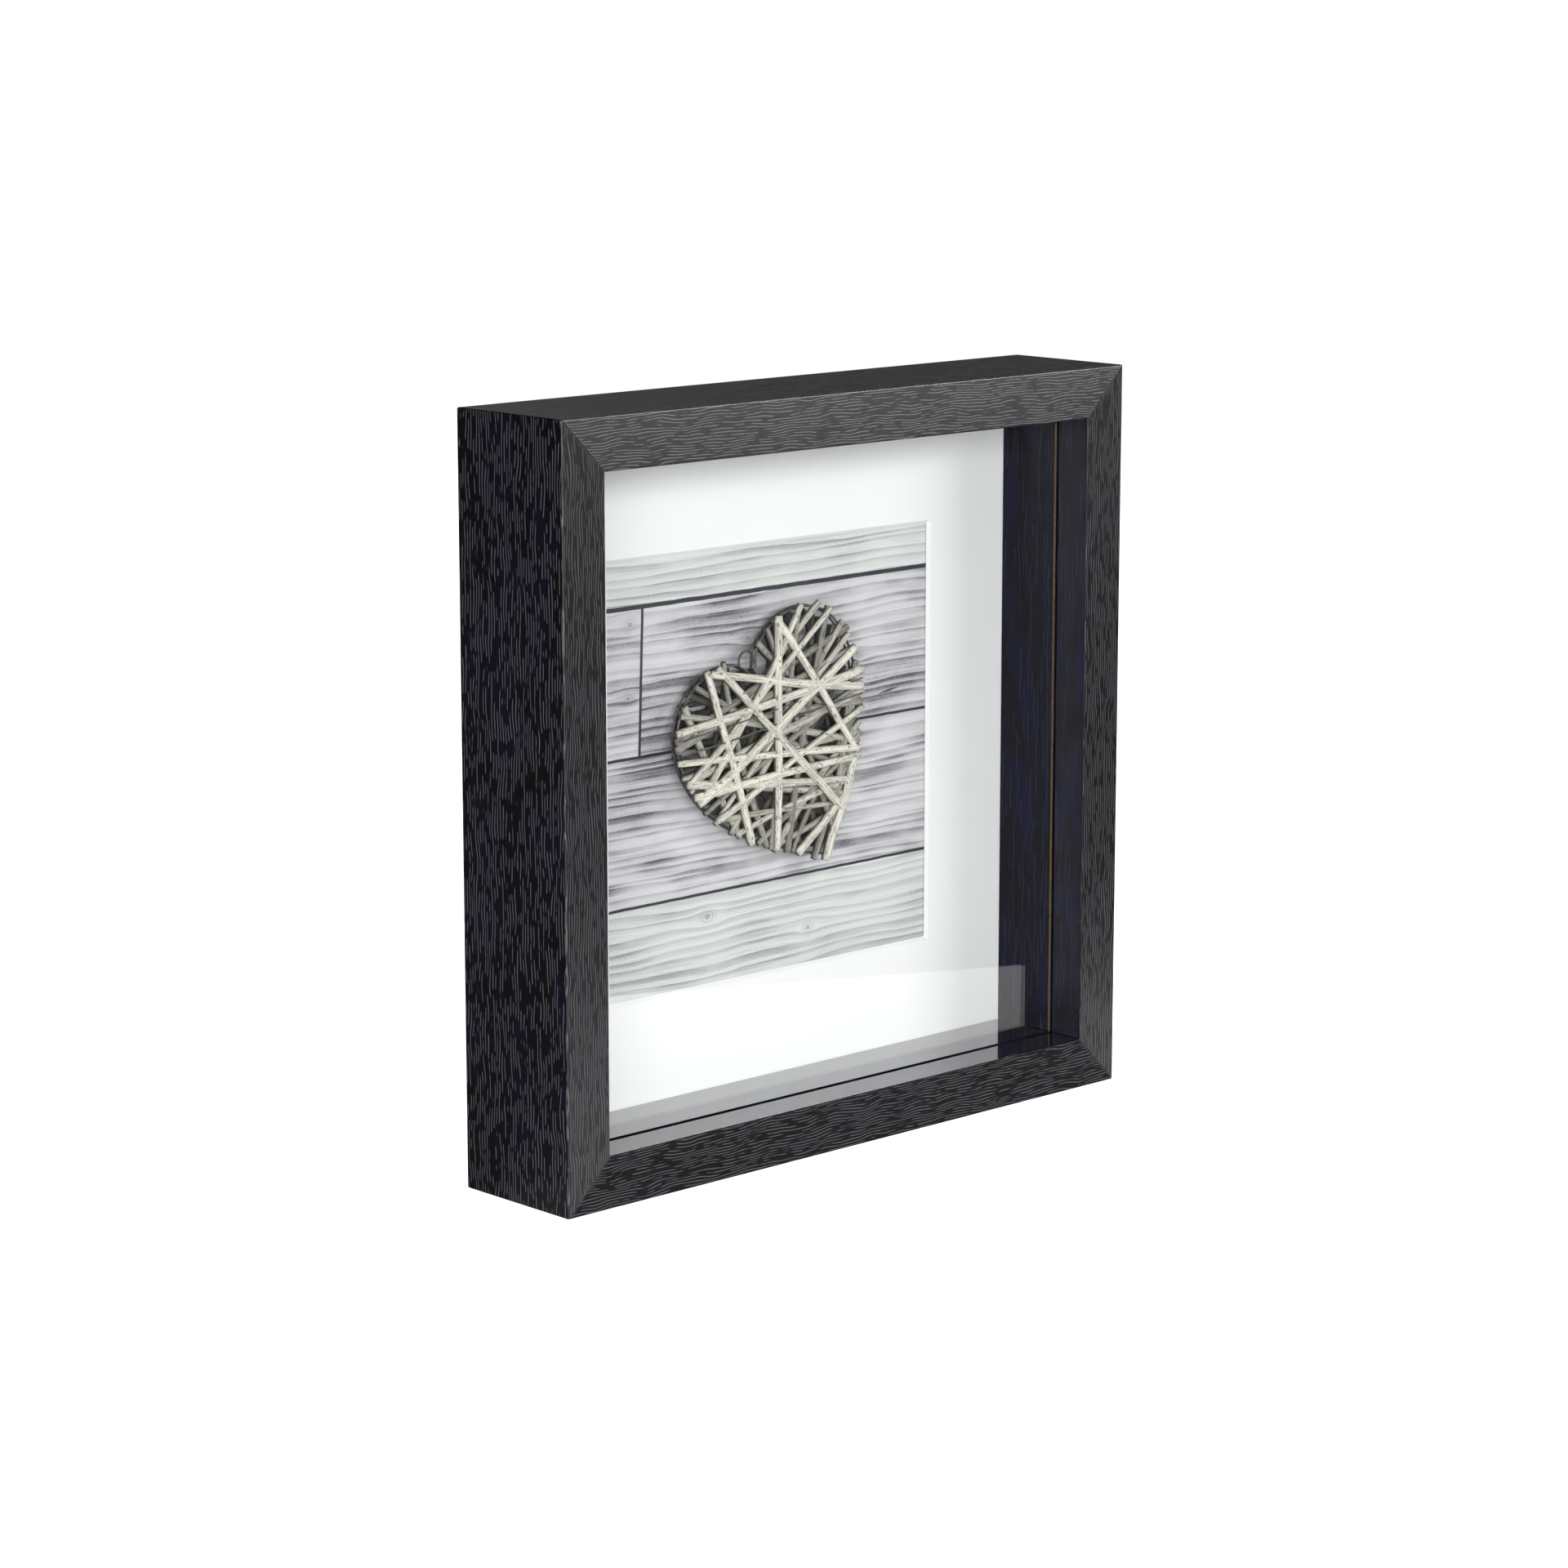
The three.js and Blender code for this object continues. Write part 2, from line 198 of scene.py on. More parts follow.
# One material's node tree. add() takes a node's type, settings and socket values, and gives an output back.
class Shader:
    def __init__(self, name):
        self.material = bpy.data.materials.new(name)
        self.material.use_nodes = True
        self.tree = self.material.node_tree
        self.tree.nodes.clear()

    def node(self, kind, settings=None, values=None):
        made = self.tree.nodes.new(kind)
        for setting, value in (settings or {}).items():
            setattr(made, setting, value)
        for key, value in (values or {}).items():
            self.feed(made.inputs[key], value)
        return made

    def add(self, kind, settings=None, values=None, output=0):
        return Socket(self, self.node(kind, settings, values).outputs[output])

    def feed(self, socket, value):
        if isinstance(value, Socket):
            self.tree.links.new(value.link, socket)
        elif value is not None:
            socket.default_value = value

    # Object coordinates in millimetres, as three values
    def places(self):
        point = self.add("ShaderNodeTexCoord", output="Object")
        split = self.node("ShaderNodeSeparateXYZ", None, {0: point})
        return [Socket(self, split.outputs[i]) * 1000.0 for i in range(3)]

    def vector(self, x, y, z):
        return self.add("ShaderNodeCombineXYZ", None, {0: x, 1: y, 2: z})

    def noise(self, vector, scale=1.0, detail=2.0, roughness=0.5, shift=None):
        settings = {"noise_dimensions": "3D" if shift is None else "4D"}
        values = {"Vector": vector, "Scale": scale, "Detail": detail, "Roughness": roughness}
        if shift is not None:
            values["W"] = shift
        return self.add("ShaderNodeTexNoise", settings, values)

    def mix(self, factor, first, second):
        made = self.node("ShaderNodeMix", {"data_type": "RGBA"})
        self.feed(made.inputs[0], factor)
        self.feed(made.inputs[6], asColour(first))
        self.feed(made.inputs[7], asColour(second))
        return Socket(self, made.outputs[2])

    def bump(self, height, strength, distance):
        values = {"Height": height, "Strength": strength, "Distance": distance}
        return self.add("ShaderNodeBump", None, values)

    def surface(self, values):
        coloured = {key: asColour(value) for key, value in values.items()}
        made = self.node("ShaderNodeBsdfPrincipled", None, coloured)
        self.output(Socket(self, made.outputs[0]))
        return self.material

    def output(self, shaderSocket):
        self.node("ShaderNodeOutputMaterial", None, {"Surface": shaderSocket})


def asColour(value):
    if isinstance(value, tuple) and len(value) == 3:
        return value + (1.0,)
    return value


def dress(names, material):
    for name in names:
        mesh = nodes[name].data
        mesh.materials.clear()
        mesh.materials.append(material)


# ---- Black wood-grain foil on the rails and spacers ----

# Lengths, pitches and widths are in mm; a tick shows where its noise climbs through `cut`
# One foil in three copies: the outer copy's light ticks are painted glints where the raised grain catches
# the light; the front copy's ticks are duller and the inner copy's darker still
outerFoilWithGlints = dict(dark=(0.0026, 0.0026, 0.0036), blue=(0.0036, 0.0036, 0.0105),
                 streak=(0.125, 0.125, 0.152), length=6.5, pitch=1.25, width=0.29, cut=(0.44, 0.52))
frontFoil = dict(dark=(0.0050, 0.0050, 0.0056), blue=(0.0065, 0.0065, 0.0095),
                 streak=(0.078, 0.078, 0.085), length=6.5, pitch=0.95, width=0.28, cut=(0.36, 0.52))
innerFoil = dict(dark=(0.0026, 0.0026, 0.0065), blue=(0.0042, 0.0042, 0.0200),
                 streak=(0.012, 0.012, 0.028), length=22.0, pitch=1.6, width=0.7, cut=(0.44, 0.60))
foil = dict(roughness=0.36, clumping=0.08, sway=1.6, bump=0.25, bumpDepth=0.0001, speck=0.10)
# A painted highlight: a lighter line up each mitre on the front faces
mitreHighlight = dict(strength=0.5, colour=(0.075, 0.075, 0.078), edge=(0.75, 0.25))
rawBoard = dict(light=(0.19, 0.125, 0.062), dark=(0.10, 0.062, 0.030), roughness=0.85, wrap=3.0, line=0.85)
# How far each rail shines: its foil, then a clear coat on its front and on its inner face. The bottom rail's
# inner face is a smooth ledge that mirrors the mount board.
stileSheen = dict(foil=0.12, inner=0.2, coatRoughness=0.36, innerRoughness=0.26)
sheens = {
    "frame_top_rail": dict(foil=0.50, front=1.0, inner=0.2, coatRoughness=0.36, innerRoughness=0.26),
    "frame_bottom_rail": dict(foil=0.10, front=0.0, inner=1.0, coatRoughness=0.05, innerRoughness=0.06),
    "frame_left_stile": dict(stileSheen, front=0.76),
    "frame_right_stile": dict(stileSheen, front=0.70),
}
ledgeFinish = dict(roughness=0.07, specular=0.90, coat=1.0)
wallFinish = dict(roughness=0.26, specular=0.12, coat=0.0)
faceWidth = (leftHigh.x - leftLow.x) / mm


# Grain ticks lie in narrow lanes along the wood. Each lane is broken into dashes by its own noise, and a
# slower noise thins them out in clouds. Lanes count over width plus depth, so they suit every face.
def grain(s, along, across, depth, look):
    place = (across + depth) / look["pitch"]
    lane = place.math("FLOOR")
    level = s.noise(s.vector(along / look["length"], lane * 5.7, lane * 1.3), detail=1.0)
    clumps = s.noise(s.vector(along / 26.0, across / 9.0, depth / 9.0), detail=1.0) - 0.5
    half = look["width"] / look["pitch"] / 2
    thin = abs(place - lane - 0.5).ramp(half * 1.45, half * 0.55)
    strength = (level + clumps * foil["clumping"]).ramp(*look["cut"]) * thin
    cloud = s.noise(s.vector(along / 24.0, across / 10.0, depth / 10.0), detail=1.0)
    ground = s.mix(cloud.ramp(0.45, 0.68), look["dark"], look["blue"])
    return s.mix(strength, ground, look["streak"]), strength


# Places along, across and into the wood, with the last two swaying a little as real grain does
def swayed(s, x, y, z, alongX):
    along, across = (x, z) if alongX else (z, x)
    wave = s.noise(s.vector(along / 16.0, across / 8.0, y / 8.0), detail=1.0)
    sway = (wave - 0.5) * foil["sway"]
    return along, across + sway, y + sway


def rawBoardColour(s, x, y, z):
    speck = s.noise(s.vector(x, y, z), scale=2.6, detail=3.0)
    return s.mix(speck.ramp(0.35, 0.65), rawBoard["dark"], rawBoard["light"]), speck


# A rail's front, inner and outer faces carry lit and shaded copies of one foil, with painted glints on the
# outer faces' ticks. On its rear face the foil laps over the outer edge by `wrap`, and inside of that the
# board is bare. A painted highlight runs up each mitre on the front.
def railMaterial(name, alongX):
    sheen = sheens[name]
    s = Shader(name + "_foil")
    x, y, z = s.places()
    along, across, depth = swayed(s, x, y, z, alongX)
    side = halfSide / mm
    inward = side - abs(x).higher(abs(z - side))
    isFront = y < caseFront / mm + 0.4
    isInner = inward > faceWidth - 0.25
    isBare = (y > caseRear / mm - 0.1) * (inward > rawBoard["wrap"])
    outerColour, outerLine = grain(s, along, across, depth, outerFoilWithGlints)
    frontColour, frontLine = grain(s, along, across, depth, frontFoil)
    innerColour, innerLine = grain(s, along, across, depth, innerFoil)
    # The lighter line along each mitre is a painted highlight, on the front faces only
    offMitre = abs(abs(x) - abs(z - side))
    paintedLight = offMitre.ramp(*mitreHighlight["edge"]) * isFront
    colour = s.mix(isInner, s.mix(isFront, outerColour, frontColour), innerColour)
    colour = s.mix(paintedLight * mitreHighlight["strength"], colour, mitreHighlight["colour"])
    line = outerLine * (1 - isFront) + frontLine * isFront
    board, speck = rawBoardColour(s, x, y, z)
    shine = isInner * sheen["inner"] + (1 - isInner) * isFront * sheen["front"]
    roughness = (1 - isInner) * foil["roughness"] + isInner * sheen["innerRoughness"]
    relief = (line + speck * foil["speck"]) * (1 - isInner)
    return s.surface({
        "Base Color": s.mix(isBare, colour, board),
        "Roughness": roughness * (1 - isBare) + isBare * rawBoard["roughness"],
        "Specular IOR Level": sheen["foil"],
        "Coat Weight": shine * (1 - isBare),
        "Coat Roughness": sheen["coatRoughness"],
        "Normal": s.bump(relief, foil["bump"], foil["bumpDepth"]),
    })


# The spacers are foil all over, but for a thin raw line on the front edge of the two upright ones
def spacerMaterial(name, alongX):
    s = Shader(name)
    finish = ledgeFinish if alongX else wallFinish
    x, y, z = s.places()
    along, across, depth = swayed(s, x, y, z, alongX)
    colour, line = grain(s, along, across, depth, innerFoil)
    roughness = finish["roughness"] + line * 0.03
    if not alongX:
        board, speck = rawBoardColour(s, x, y, z)
        isBare = (y < spacerLow.y / mm + 0.15) * (abs(x) < -spacerHigh.x / mm + rawBoard["line"])
        colour = s.mix(isBare, colour, board)
        roughness = roughness * (1 - isBare) + isBare * rawBoard["roughness"]
    return s.surface({
        "Base Color": colour,
        "Roughness": roughness,
        "Specular IOR Level": finish["specular"],
        "Coat Weight": finish["coat"],
        "Coat Roughness": 0.06,
        "Normal": s.bump(line, 0.03, 0.00002),
    })


def dressCase():
    for name in sheens:
        dress([name], railMaterial(name, name.endswith("rail")))
    dress(["spacer_top", "spacer_bottom"], spacerMaterial("wallFoilAcross", True))
    dress(["spacer_left", "spacer_right"], spacerMaterial("wallFoilUpright", False))


# ---- Glass, mount board, card, fibreboard and steel ----

# Clear glass that lamps and diffuse light pass straight through, so that the case behind it is lit
def glassMaterial():
    s = Shader("clearGlass")
    clear = s.add("ShaderNodeBsdfTransparent", None, {"Color": (0.985, 0.99, 0.988, 1.0)})
    glass = s.add("ShaderNodeBsdfPrincipled", None, {
        "Base Color": (0.985, 0.99, 0.988, 1.0), "Roughness": 0.0, "IOR": 1.52, "Transmission Weight": 1.0})
    path = s.node("ShaderNodeLightPath")
    passes = Socket(s, path.outputs["Is Shadow Ray"]) + Socket(s, path.outputs["Is Diffuse Ray"])
    s.output(s.add("ShaderNodeMixShader", None, {0: passes, 1: glass, 2: clear}))
    return s.material


def matMaterial():
    s = Shader("mountBoard")
    x, y, z = s.places()
    tooth = s.noise(s.vector(x, y, z), scale=3.5, detail=3.0)
    cloud = s.noise(s.vector(x, y, z), scale=0.03, detail=2.0)
    shade = s.mix(cloud, (0.845, 0.845, 0.855), (0.87, 0.87, 0.875))
    return s.surface({
        "Base Color": s.mix(tooth.ramp(0.3, 0.7) * 0.25, shade, (0.80, 0.80, 0.80)),
        "Roughness": 0.82 + tooth * 0.1,
        "Normal": s.bump(tooth, 0.25, 0.00003),
    })


# Brown card: long fibres over a soft mottle
def cardMaterial():
    s = Shader("brownCard")
    x, y, z = s.places()
    fibre = s.noise(s.vector(x / 2.0, y, z * 3.0), scale=1.0, detail=3.0)
    mottle = s.noise(s.vector(x, y, z), scale=0.12, detail=3.0)
    tone = s.mix(fibre.ramp(0.3, 0.7), (0.33, 0.205, 0.105), (0.45, 0.30, 0.165))
    return s.surface({
        "Base Color": s.mix(mottle * 0.5, tone, (0.27, 0.165, 0.085)),
        "Roughness": 0.85 + fibre * 0.1,
        "Normal": s.bump(fibre, 0.3, 0.00008),
    })


# Hardboard: dense dark and light fibre specks, a little polished
def boardMaterial():
    s = Shader("hardboard")
    x, y, z = s.places()
    speck = s.noise(s.vector(x, y, z), scale=1.6, detail=4.0, roughness=0.65)
    fibre = s.noise(s.vector(x / 1.5, y, z * 1.2), scale=1.0, detail=4.0)
    cloud = s.noise(s.vector(x, y, z), scale=0.02, detail=2.0)
    tone = s.mix(speck.ramp(0.35, 0.68), (0.125, 0.066, 0.030), (0.30, 0.185, 0.095))
    return s.surface({
        "Base Color": s.mix(cloud.ramp(0.4, 0.65) * 0.35, tone, (0.17, 0.10, 0.05)),
        "Roughness": 0.46 + fibre * 0.3,
        "Normal": s.bump(speck * 0.6 + fibre * 0.4, 0.35, 0.00012),
    })


# Zinc plate: rolled along one way, cloudy spangle, and duller patches
def steelMaterial():
    s = Shader("zincPlate")
    x, y, z = s.places()
    rolled = s.noise(s.vector(x * 6.0, y * 2.0, z * 0.6), scale=1.0, detail=3.0)
    cloud = s.noise(s.vector(x, y, z), scale=0.5, detail=3.0)
    spangle = s.add("ShaderNodeTexVoronoi", None, {"Vector": s.vector(x, y, z), "Scale": 0.9})
    dull = cloud.ramp(0.35, 0.7) * 0.6 + spangle * 0.2
    return s.surface({
        "Base Color": s.mix(dull, (0.62, 0.63, 0.66), (0.36, 0.37, 0.40)),
        "Metallic": 1.0,
        "Roughness": 0.26 + rolled * 0.18 + cloud * 0.08,
        "Normal": s.bump(rolled, 0.2, 0.00004),
    })


# Dark annealed wire: scale-black with brown bloom
def wireMaterial():
    s = Shader("annealedWire")
    x, y, z = s.places()
    bloom = s.noise(s.vector(x, y, z), scale=0.6, detail=3.0)
    pit = s.noise(s.vector(x, y, z), scale=4.0, detail=2.0)
    return s.surface({
        "Base Color": s.mix(bloom.ramp(0.45, 0.7), (0.070, 0.070, 0.078), (0.15, 0.12, 0.10)),
        "Metallic": 0.6,
        "Roughness": 0.4 + bloom * 0.25,
        "Normal": s.bump(pit, 0.3, 0.00005),
    })


def dressStack():
    dress(["glass_pane"], glassMaterial())
    dress(["mat_board"], matMaterial())
    dress(["filler_card"], cardMaterial())
    dress(["back_panel"], boardMaterial())
    steel = steelMaterial()
    fittings = ("turn_button", "button_screw", "wall_hanger", "hanger_pin", "corner_nail")
    dress([name for name in nodes if name.startswith(fittings)], steel)
    dress(["heart_front_hoop", "heart_back_hoop", "heart_hanging_loop"], wireMaterial())


# ---- The print: a picture of five weathered boards ----

# Places in mm, heights from `middle`. The second board from the top has a joint near its left end.
boards = dict(middle=126.0, slope=0.006, rows=(56.0, 7.0, -42.4), rowGap=(1.5, 1.0, 0.95), seamSoft=0.16,
              joint=-58.8, jointLean=0.035, jointGap=1.1)
# Early and late wood of the outer boards and of the middle ones
boardTones = dict(
    pale=((0.67, 0.69, 0.675), (0.20, 0.21, 0.212)),
    lilac=((0.64, 0.637, 0.652), (0.085, 0.078, 0.100)),
    knot=(0.17, 0.155, 0.18),
    seam=(0.010, 0.009, 0.018))
# How much each layer of grain darkens the board
grainLayers = dict(late=0.60, lines=0.12, fibre=0.12, pore=0.16, ringPitch=3.4)
# Across, up and size of each knot
knots = ((-62.6, 50.7, 3.0), (-63.4, 26.7, 2.4), (-11.0, 40.5, 2.6), (38.9, 29.4, 2.2),
         (-29.4, -50.4, 3.4), (16.1, -61.4, 2.8))
crack = dict(across=54.0, up=15.0, length=5.5, width=0.5, lean=0.12)


# Dark where the distance from a seam's middle is under half its width, with a soft edge
def seamLine(distance, width):
    return abs(distance).ramp(width * 0.5 + boards["seamSoft"], width * 0.5 - boards["seamSoft"])


# Board grain, as layers over one bent height: late-wood bands that darken upwards and break off to pale,
# thin dark lines, fibres, pores, and lighter and darker patches. Knots push the lines apart and carry rings.
def printMaterial():
    s = Shader("boardPrint")
    x, y, z = s.places()
    up = z - boards["middle"] - x * boards["slope"]
    overRows = [up > row for row in boards["rows"]]
    jointPlace = (up - boards["rows"][1]) * boards["jointLean"] + boards["joint"]
    leftBoard = (x < jointPlace) * overRows[1] * (1 - overRows[0])
    shift = overRows[0] * 3.7 + overRows[1] * 5.3 + overRows[2] * 8.1 + leftBoard * 11.9
    bent = up
    knotShade = None
    for across, height, size in knots:
        side = (x - across) / size
        rise = (up - height) / size
        apart = (side * side * 0.22 + rise * rise * 0.9) * -1.0
        bent = bent - (up - height) * apart.math("EXPONENT") * 0.8
        ringed = (side * side * 1.1 + rise * rise * 1.9) ** 0.5
        rings = (ringed * 2.3).fraction().ramp(0.2, 0.9) * 0.6 + ringed.ramp(0.45, 0.15) * 0.8
        shade = ringed.ramp(1.5, 0.8) * rings
        knotShade = shade if knotShade is None else knotShade.higher(shade)
    slow = s.noise(s.vector(x / 75.0, up / 26.0, 0.0), detail=1.0, shift=shift) - 0.5
    quick = s.noise(s.vector(x / 17.0, up / 7.0, 0.0), detail=2.0, shift=shift) - 0.5
    level = bent + slow * 7.0 + quick * 0.9
    uneven = s.noise(s.vector(x / 300.0, level / 6.0, 0.0), detail=2.0, shift=shift) * 9.0
    ring = ((level + uneven) / grainLayers["ringPitch"]).fraction()
    late = ring.ramp(0.25, 0.95) * ring.ramp(1.0, 0.95)
    lines = s.noise(s.vector(x / 60.0, level / 0.95, 0.0), detail=1.0, roughness=0.6, shift=shift)
    fibre = s.noise(s.vector(x / 22.0, level / 0.60, 0.0), detail=1.0, roughness=0.6, shift=shift)
    pore = s.noise(s.vector(x / 1.2, up / 0.45, 0.0), detail=2.0, shift=shift)
    patch = s.noise(s.vector(x / 38.0, up / 13.0, 0.0), detail=2.0, shift=shift + 1.7).ramp(0.40, 0.66)
    depth = (late * grainLayers["late"] + lines.ramp(0.50, 0.58) * grainLayers["lines"]
             + fibre.ramp(0.46, 0.58) * grainLayers["fibre"] + pore.ramp(0.45, 0.72) * grainLayers["pore"])
    pale = overRows[0].higher(1 - overRows[2])
    lilacDepth = depth * (patch * 0.70 + 0.46) + patch * 0.22
    paleDepth = depth * (patch * 0.50 + 0.50) + patch * 0.05
    wood = s.mix(pale, s.mix(lilacDepth.lower(1.0), *boardTones["lilac"]),
                 s.mix(paleDepth.lower(1.0), *boardTones["pale"]))
    wood = s.mix(knotShade.lower(1.0) * 0.6, wood, boardTones["knot"])
    wobble = (s.noise(s.vector(x / 7.0, up / 7.0, 0.0), detail=1.0) - 0.5) * 0.35
    seam = None
    for row, width in zip(boards["rows"], boards["rowGap"]):
        line = seamLine(up - row + wobble, width)
        seam = line if seam is None else seam.higher(line)
    jointLine = seamLine(x - jointPlace + wobble * 0.5, boards["jointGap"])
    seam = seam.higher(jointLine * overRows[1] * (1 - overRows[0]))
    split = abs(up - crack["up"] - (x - crack["across"]) * crack["lean"])
    reach = 1 - abs(x - crack["across"]) / crack["length"]
    seam = seam.higher((split - reach * crack["width"]).ramp(0.1, -0.1) * (reach > 0.0) * 0.9)
    paper = s.noise(s.vector(x, up, y), scale=4.0, detail=2.0)
    return s.surface({
        "Base Color": s.mix(seam, wood, boardTones["seam"]),
        "Roughness": 0.50 + paper * 0.12,
        "Normal": s.bump(paper, 0.15, 0.00002),
    })


# ---- The wicker heart: willow rods laid across a wire hoop ----

# The hoop's right half from notch to tip, in mm from the heart's middle before it is tilted
heart = dict(tilt=26.5, middle=(0.8, 125.5), hoopSpread=2.2, hoopWire=0.4, notchFoot=31.0, points=(
    (1.5, 34.5), (5.0, 40.0), (12.0, 43.2), (21.0, 44.0), (31.0, 40.5), (38.5, 32.0),
    (41.0, 20.0), (38.5, 6.0), (29.0, -11.0), (14.5, -26.5), (3.2, -36.6), (0.0, -38.5)))
# darkBackingRods counts the rods at the back that are painted near black, as painted shade in the gaps
rods = dict(radius=1.2, spread=0.17, taper=0.16, bow=0.8, overhangSpread=(-0.5, 0.8), endSize=0.86,
            sides=12, steps=36, darkBackingRods=24, seed=7)
# Each rod by its two ends, as the share of the way round the hoop from the notch over the right lobe,
# the tip and the left lobe. Later rods lie nearer the viewer.
rodsUnder = ((0.05, 0.47), (0.11, 0.68), (0.15, 0.55), (0.93, 0.59), (0.21, 0.70), (0.30, 0.60),
             (0.19, 0.66), (0.89, 0.38), (0.78, 0.30), (0.97, 0.72), (0.09, 0.50), (0.25, 0.63),
             (0.13, 0.41), (0.34, 0.79), (0.27, 0.87), (0.53, 0.91), (0.45, 0.81), (0.39, 0.73),
             (0.62, 0.33), (0.99, 0.57))
rodsMiddle = ((0.03, 0.34), (0.95, 0.61), (0.87, 0.66), (0.90, 0.39), (0.20, 0.83), (0.77, 0.42),
              (0.14, 0.76), (0.84, 0.30), (0.78, 0.34), (0.31, 0.56), (0.59, 0.44), (0.86, 0.35),
              (0.82, 0.23), (0.11, 0.60), (0.33, 0.59), (0.19, 0.67), (0.05, 0.47), (0.77, 0.29),
              (0.16, 0.57), (0.21, 0.70), (0.52, 0.34), (0.36, 0.62), (0.28, 0.72), (0.40, 0.66),
              (0.48, 0.25), (0.43, 0.70))
rodsOver = ((0.50, 0.38), (0.55, 0.42), (0.84, 0.26), (0.77, 0.40), (0.11, 0.74), (0.07, 0.59),
            (0.16, 0.77), (0.93, 0.28), (0.80, 0.36), (0.75, 0.37), (0.23, 0.74), (0.92, 0.64),
            (0.31, 0.70), (0.07, 0.36), (0.94, 0.44))
threads = ((0.83, 0.27), (0.81, 0.29))
# shaded and flankShade are painted shade: the colour of the deepest rods and of each rod's flanks
willow = dict(shaded=(0.012, 0.011, 0.010), pale=(0.76, 0.74, 0.655), crack=(0.10, 0.092, 0.078),
              stain=(0.34, 0.32, 0.262), flankShade=(0.055, 0.050, 0.043))


# Catmull-Rom through the points and their mirror images, then evenly spaced by length
def hoopLine(count):
    right = np.array(heart["points"])
    left = right[:-1][::-1] * (-1.0, 1.0)
    stops = np.vstack([right, left])
    ends = np.vstack([2 * stops[0] - stops[1], stops, 2 * stops[-1] - stops[-2]])
    t = np.linspace(0.0, 1.0, 24, endpoint=False)[None, :, None]
    a, b, c, d = (ends[i:len(ends) - 3 + i, None, :] for i in range(4))
    bend, twist = 2 * a - 5 * b + 4 * c - d, 3 * b - a - 3 * c + d
    curve = 0.5 * (2 * b + (c - a) * t + bend * t ** 2 + twist * t ** 3)
    line = np.vstack([curve.reshape(-1, 2), stops[-1:]])
    walked = np.concatenate([[0.0], np.cumsum(np.linalg.norm(np.diff(line, axis=0), axis=1))])
    even = np.linspace(0.0, walked[-1], count)
    return np.stack([np.interp(even, walked, line[:, i]) for i in range(2)], axis=1)


# From the heart's own upright plane to the frame: tilt about its middle, then metres
def tilted(across, up, depth):
    angle = math.radians(heart["tilt"])
    x = heart["middle"][0] + across * math.cos(angle) - up * math.sin(angle)
    z = heart["middle"][1] + across * math.sin(angle) + up * math.cos(angle)
    return np.stack([x * mm, depth * mm, z * mm], axis=-1)


# A round bar along each centre line: ring k of a bar is its centre plus radius times the cosine along
# the sideways normal and the sine along the other normal. A pole closes each end. The skin attribute holds
# the way along the bar and the place round it, and the shade attribute how much painted shade the bar gets,
# from 0, darkest, to 1, none.
def barMesh(name, centres, radii, depthShades, sides):
    bars, steps, _ = centres.shape
    tangent = np.gradient(centres, axis=1)
    tangent /= np.linalg.norm(tangent, axis=2, keepdims=True)
    sideways = np.cross(tangent, np.array([0.0, 1.0, 0.0]))
    sideways /= np.linalg.norm(sideways, axis=2, keepdims=True)
    other = np.cross(sideways, tangent)
    angle = np.linspace(0.0, 2 * np.pi, sides, endpoint=False)
    wheel = (np.cos(angle)[None, None, :, None] * sideways[:, :, None, :]
             + np.sin(angle)[None, None, :, None] * other[:, :, None, :])
    rings = centres[:, :, None, :] + radii[:, :, None, None] * wheel
    walked = np.cumsum(np.linalg.norm(np.diff(centres, axis=1, prepend=centres[:, :1]), axis=2), axis=1)
    poles = np.stack([centres[:, 0], centres[:, -1]], axis=1)
    perBar = steps * sides + 2
    points = np.concatenate([rings.reshape(bars, -1, 3), poles], axis=1).reshape(-1, 3)
    ringStart = (np.arange(steps - 1) * sides)[:, None]
    around = np.arange(sides)[None, :]
    onward = (around + 1) % sides
    quads = np.stack([ringStart + around, ringStart + onward, ringStart + sides + onward,
                      ringStart + sides + around], axis=-1).reshape(-1, 4)
    first = np.stack([np.full(sides, steps * sides), onward[0], around[0]], axis=-1)
    lastRing = (steps - 1) * sides
    lastPole = np.full(sides, steps * sides + 1)
    last = np.stack([lastPole, lastRing + around[0], lastRing + onward[0]], axis=-1)
    offset = (np.arange(bars) * perBar)[:, None, None]
    faces = (quads + offset).reshape(-1, 4).tolist()
    faces += (np.vstack([first, last])[None] + offset).reshape(-1, 3).tolist()
    mesh = bpy.data.meshes.new(name)
    mesh.from_pydata(points.tolist(), [], faces)
    atRings = np.repeat(walked, sides, axis=1)
    alongBar = np.concatenate([atRings, walked[:, :1], walked[:, -1:]], axis=1)
    turn = np.concatenate([np.tile(angle, steps), [0.0, 0.0]])
    girth = np.concatenate([np.repeat(radii, sides, axis=1), np.zeros((bars, 2))], axis=1)
    skin = np.stack([alongBar, np.cos(turn) * girth, np.sin(turn) * girth], axis=-1)
    skin[..., 0] += np.arange(bars)[:, None] * 0.3
    layer = mesh.attributes.new("rodSkin", "FLOAT_VECTOR", "POINT")
    layer.data.foreach_set("vector", skin.astype(np.float32).ravel())
    shade = mesh.attributes.new("rodDepthShade", "FLOAT", "POINT")
    shade.data.foreach_set("value", np.repeat(depthShades, perBar).astype(np.float32))
    mesh.shade_smooth()
    piece = bpy.data.objects.new(name, mesh)
    bpy.context.scene.collection.objects.link(piece)
    return piece


